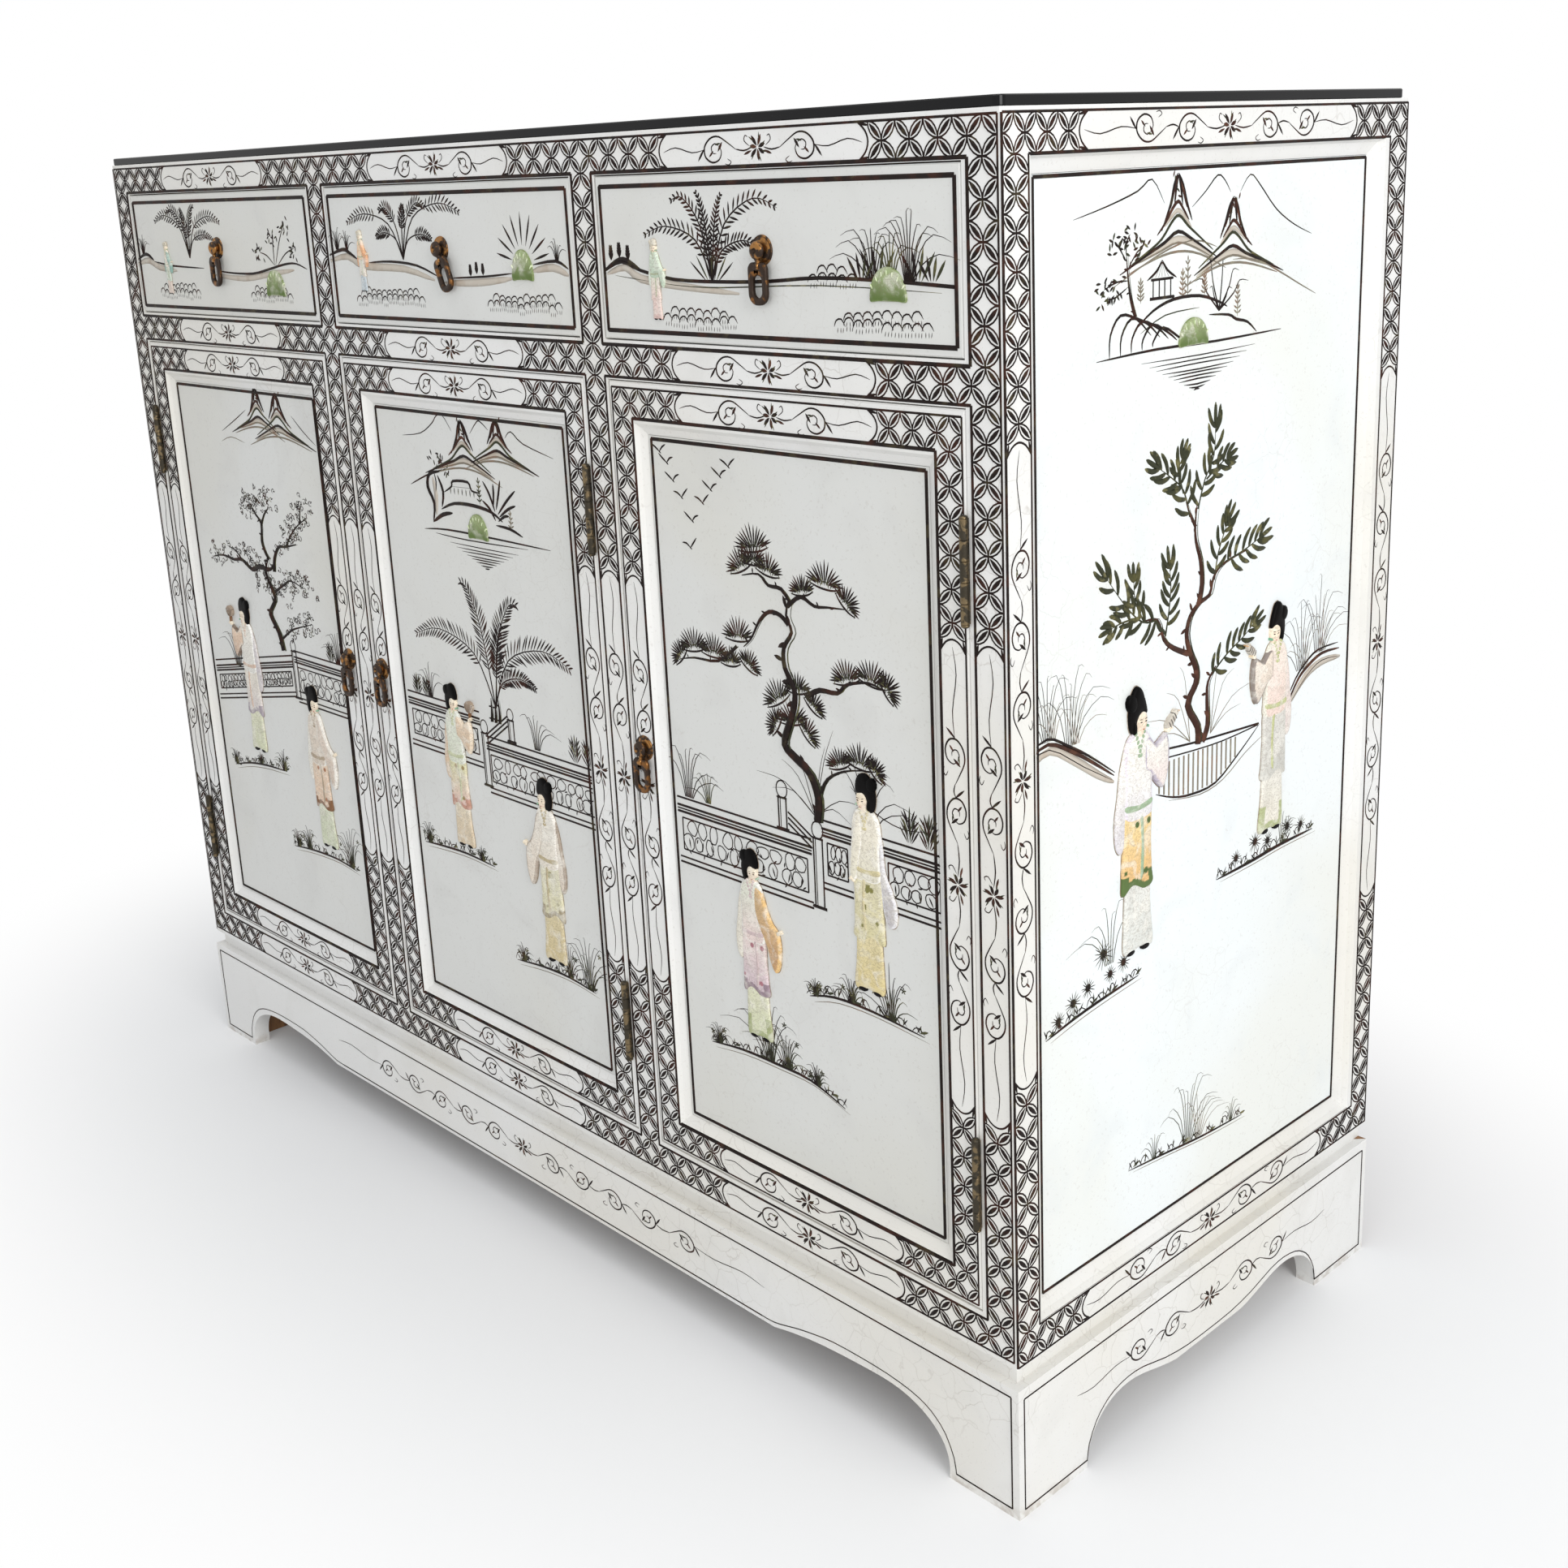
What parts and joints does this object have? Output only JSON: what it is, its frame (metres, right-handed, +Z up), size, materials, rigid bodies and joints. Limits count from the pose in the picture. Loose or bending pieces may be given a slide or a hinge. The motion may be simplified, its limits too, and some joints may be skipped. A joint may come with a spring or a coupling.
{
  "type": "sideboard",
  "caption": "Lacquered sideboard with drawers over doors, sunk panels, drop pulls, a glass sheet on top and a scalloped plinth.",
  "frame": {"origin": "on the floor under the middle of the whole piece", "axes": "+X to the right as one faces the doors, +Y to the back, +Z up"},
  "size_m": [1.224, 0.4882, 1.003],
  "materials": {
    "white_lacquer": "aged white lacquer with painted line work",
    "plain_wood": "painted board",
    "inner_wood": "stained plain wood",
    "black_glass": "glass sheet over black",
    "aged_brass": "worn dark brass",
    "hinge_bronze": "dark bronzed brass",
    "carved_stone": "carved and tinted soapstone"
  },
  "bodies": {
    "carcass": {"glass_top": "black_glass", "top_board": "plain_wood", "bottom_board": "inner_wood", "drawer_deck": "inner_wood", "back_panel": "inner_wood", "back_rails": "white_lacquer", "corner_posts": "white_lacquer", "inner_stiles": "white_lacquer", "face_rails": "white_lacquer", "side_rails": "white_lacquer", "side_mouldings": "white_lacquer", "side_panel_right": "white_lacquer", "side_panel_left": "white_lacquer", "side_inlay_right": "carved_stone", "side_inlay_left": "carved_stone", "partitions": "inner_wood", "shelves": "inner_wood", "shelf_cleats": "inner_wood", "drawer_guides": "inner_wood", "door_stops": "inner_wood", "hinge_frame_leaves": "hinge_bronze", "hinge_pins": "hinge_bronze", "neck_frame": "white_lacquer", "plinth_front": "white_lacquer", "plinth_sides": "white_lacquer", "plinth_back": "inner_wood", "corner_blocks": "inner_wood"},
    "drawer_left": {"drawer_front_left": "white_lacquer", "drawer_box_left": "inner_wood", "drawer_inlay_left": "carved_stone", "drawer_pull_left": "aged_brass"},
    "drawer_ring_body_left": {"drawer_ring_left": "aged_brass"},
    "door_left": {"door_frame_left": "white_lacquer", "door_panel_left": "white_lacquer", "door_inlay_left": "carved_stone", "door_hinge_leaves_left": "hinge_bronze", "door_pull_left": "aged_brass"},
    "door_ring_body_left": {"door_ring_left": "aged_brass"},
    "drawer_middle": {"drawer_front_middle": "white_lacquer", "drawer_box_middle": "inner_wood", "drawer_inlay_middle": "carved_stone", "drawer_pull_middle": "aged_brass"},
    "drawer_ring_body_middle": {"drawer_ring_middle": "aged_brass"},
    "door_middle": {"door_frame_middle": "white_lacquer", "door_panel_middle": "white_lacquer", "door_inlay_middle": "carved_stone", "door_hinge_leaves_middle": "hinge_bronze", "door_pull_middle": "aged_brass"},
    "door_ring_body_middle": {"door_ring_middle": "aged_brass"},
    "drawer_right": {"drawer_front_right": "white_lacquer", "drawer_box_right": "inner_wood", "drawer_inlay_right": "carved_stone", "drawer_pull_right": "aged_brass"},
    "drawer_ring_body_right": {"drawer_ring_right": "aged_brass"},
    "door_right": {"door_frame_right": "white_lacquer", "door_panel_right": "white_lacquer", "door_inlay_right": "carved_stone", "door_hinge_leaves_right": "hinge_bronze", "door_pull_right": "aged_brass"},
    "door_ring_body_right": {"door_ring_right": "aged_brass"}
  },
  "joints": [
    {"name": "drawer_left_slide", "type": "slide", "parent": "carcass", "child": "drawer_left", "axis": [0, -1, 0], "range_m": [0, 0.28]},
    {"name": "door_left_hinge", "type": "hinge", "parent": "carcass", "child": "door_left", "pos_m": [-0.5775, -0.2397, 0.4875], "axis": [0, 0, -1], "range_deg": [0, 110]},
    {"name": "drawer_ring_left_swing", "type": "hinge", "parent": "drawer_left", "child": "drawer_ring_body_left", "pos_m": [-0.39567, -0.2409, 0.901], "axis": [-1, 0, 0], "range_deg": [0, 85]},
    {"name": "door_ring_left_swing", "type": "hinge", "parent": "door_left", "child": "door_ring_body_left", "pos_m": [-0.22808, -0.2409, 0.509], "axis": [-1, 0, 0], "range_deg": [0, 85]},
    {"name": "drawer_middle_slide", "type": "slide", "parent": "carcass", "child": "drawer_middle", "axis": [0, -1, 0], "range_m": [0, 0.28]},
    {"name": "door_middle_hinge", "type": "hinge", "parent": "carcass", "child": "door_middle", "pos_m": [0.18183, -0.2397, 0.4875], "axis": [0, 0, 1], "range_deg": [0, 100]},
    {"name": "drawer_ring_middle_swing", "type": "hinge", "parent": "drawer_middle", "child": "drawer_ring_body_middle", "pos_m": [0.00412, -0.2409, 0.9018], "axis": [-0.9272, 0, -0.3746], "range_deg": [0, 85]},
    {"name": "door_ring_middle_swing", "type": "hinge", "parent": "door_middle", "child": "door_ring_body_middle", "pos_m": [-0.16758, -0.2409, 0.509], "axis": [-1, 0, 0], "range_deg": [0, 85]},
    {"name": "drawer_right_slide", "type": "slide", "parent": "carcass", "child": "drawer_right", "axis": [0, -1, 0], "range_m": [0, 0.28]},
    {"name": "door_right_hinge", "type": "hinge", "parent": "carcass", "child": "door_right", "pos_m": [0.5775, -0.2397, 0.4875], "axis": [0, 0, 1], "range_deg": [0, 110]},
    {"name": "drawer_ring_right_swing", "type": "hinge", "parent": "drawer_right", "child": "drawer_ring_body_right", "pos_m": [0.39567, -0.2409, 0.901], "axis": [-1, 0, 0], "range_deg": [0, 85]},
    {"name": "door_ring_right_swing", "type": "hinge", "parent": "door_right", "child": "door_ring_body_right", "pos_m": [0.22808, -0.2409, 0.509], "axis": [-1, 0, 0], "range_deg": [0, 85]}
  ]
}
